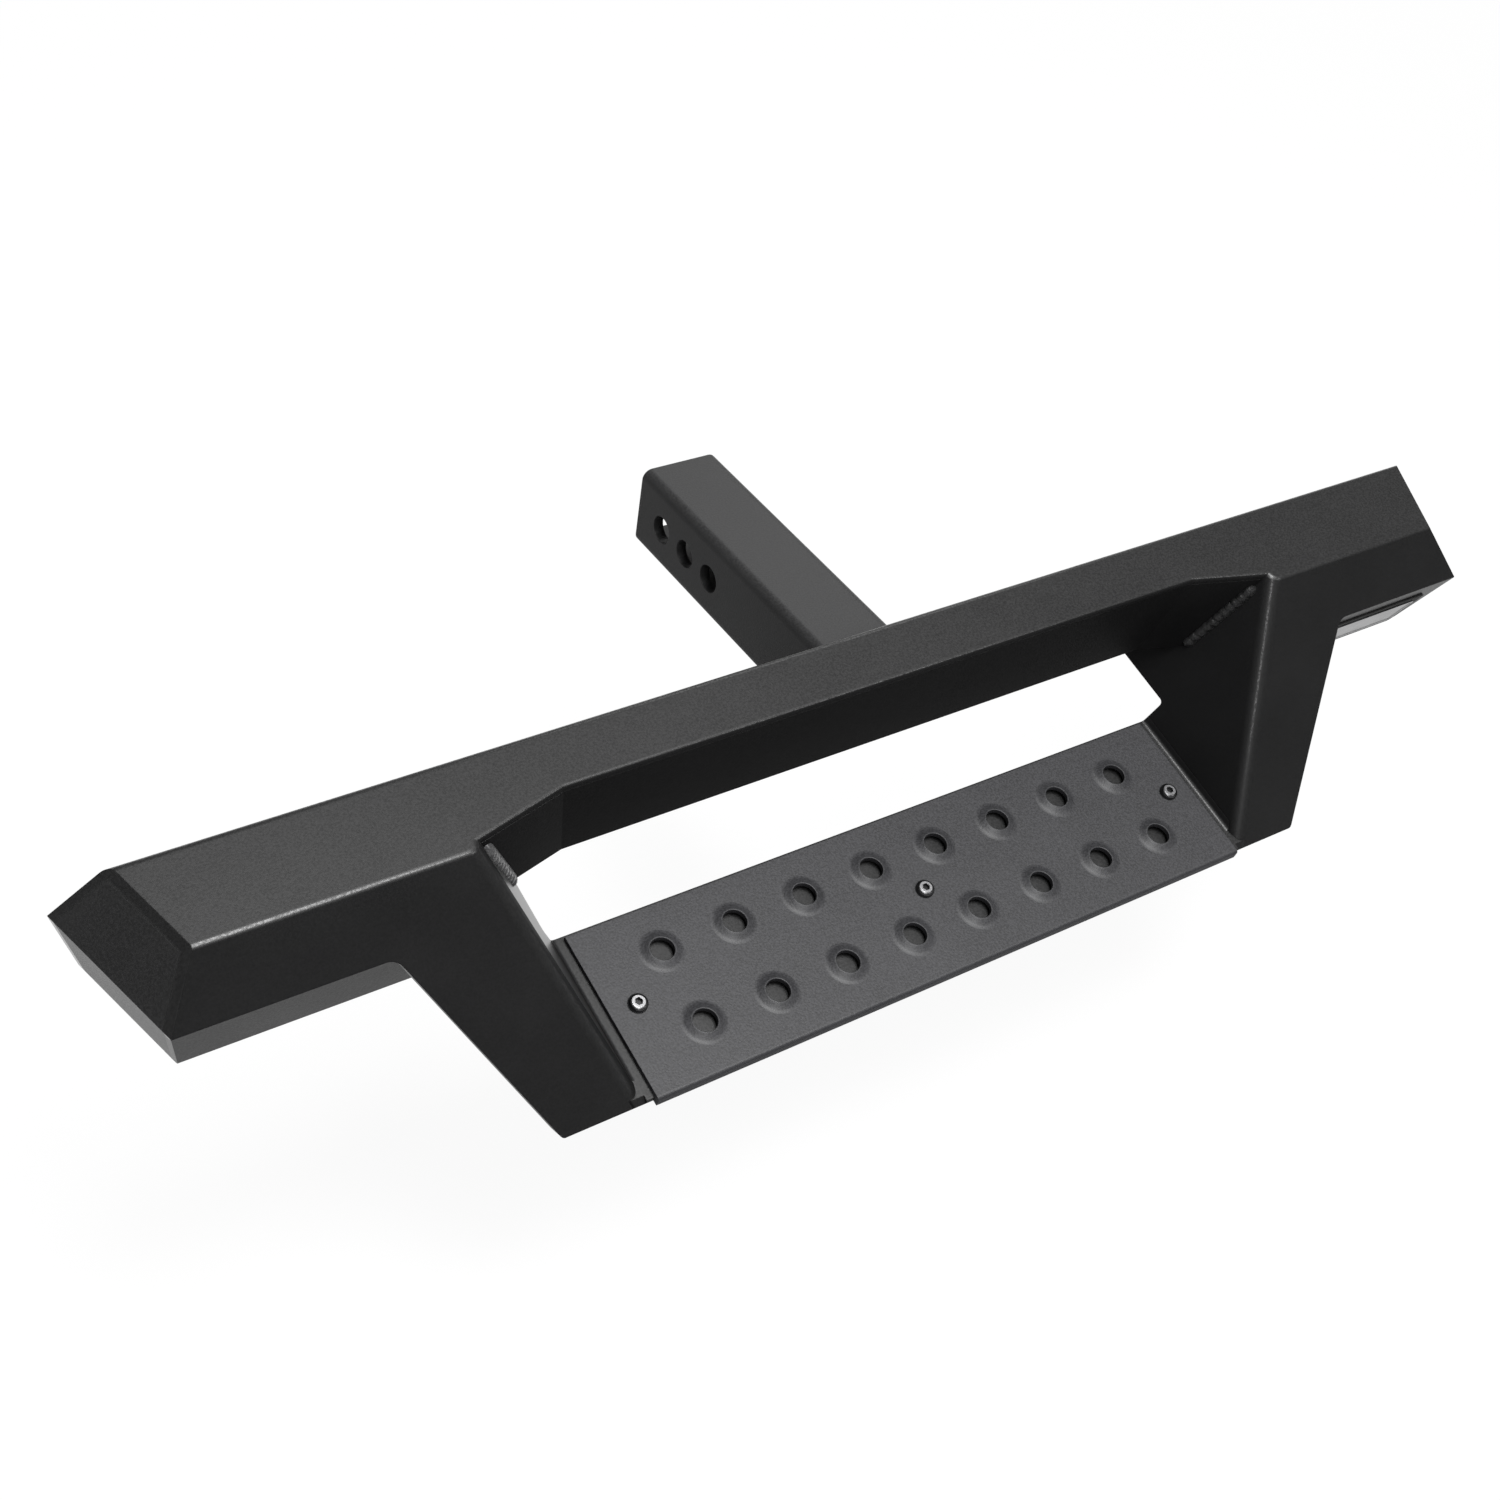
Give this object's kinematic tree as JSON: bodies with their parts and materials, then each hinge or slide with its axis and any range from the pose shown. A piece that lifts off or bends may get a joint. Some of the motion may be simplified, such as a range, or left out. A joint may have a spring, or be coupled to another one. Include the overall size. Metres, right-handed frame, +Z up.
{
  "type": "hitch receiver step",
  "caption": "Black steel hitch receiver step: folded bumper bar with angled ends, dropped tread with raised grip holes between legs, and a square shank with hitch pin holes",
  "frame": {"origin": "on the shank axis at the centre of the middle hitch pin hole", "axes": "+X along the bar to the right as seen from behind the vehicle, +Y along the shank towards the vehicle, +Z up"},
  "size_m": [0.8762, 0.3235, 0.1384],
  "materials": {
    "bar_coat": "satin black powder coat with a fine texture",
    "tread_coat": "satin black powder coat with a fine texture",
    "weld_coat": "rippled weld bead under satin black coat",
    "stainless": "plain stainless fasteners",
    "badge_metal": "blank brushed plate"
  },
  "bodies": {
    "root": {"main_shell": "bar_coat", "bottom_pan": "bar_coat", "end_cap_left": "bar_coat", "end_cap_right": "bar_coat", "recess_panel": "bar_coat", "recess_weld_left": "weld_coat", "recess_weld_right": "weld_coat", "step_tray": "bar_coat", "step_plate": "tread_coat", "step_screw_left": "stainless", "step_screw_middle": "stainless", "step_screw_right": "stainless", "step_washer_left": "stainless", "step_washer_middle": "stainless", "step_washer_right": "stainless", "step_nut_left": "stainless", "step_nut_middle": "stainless", "step_nut_right": "stainless", "hitch_tube": "bar_coat", "shank_weld": "weld_coat", "badge_plate": "badge_metal"}
  },
  "joints": []
}
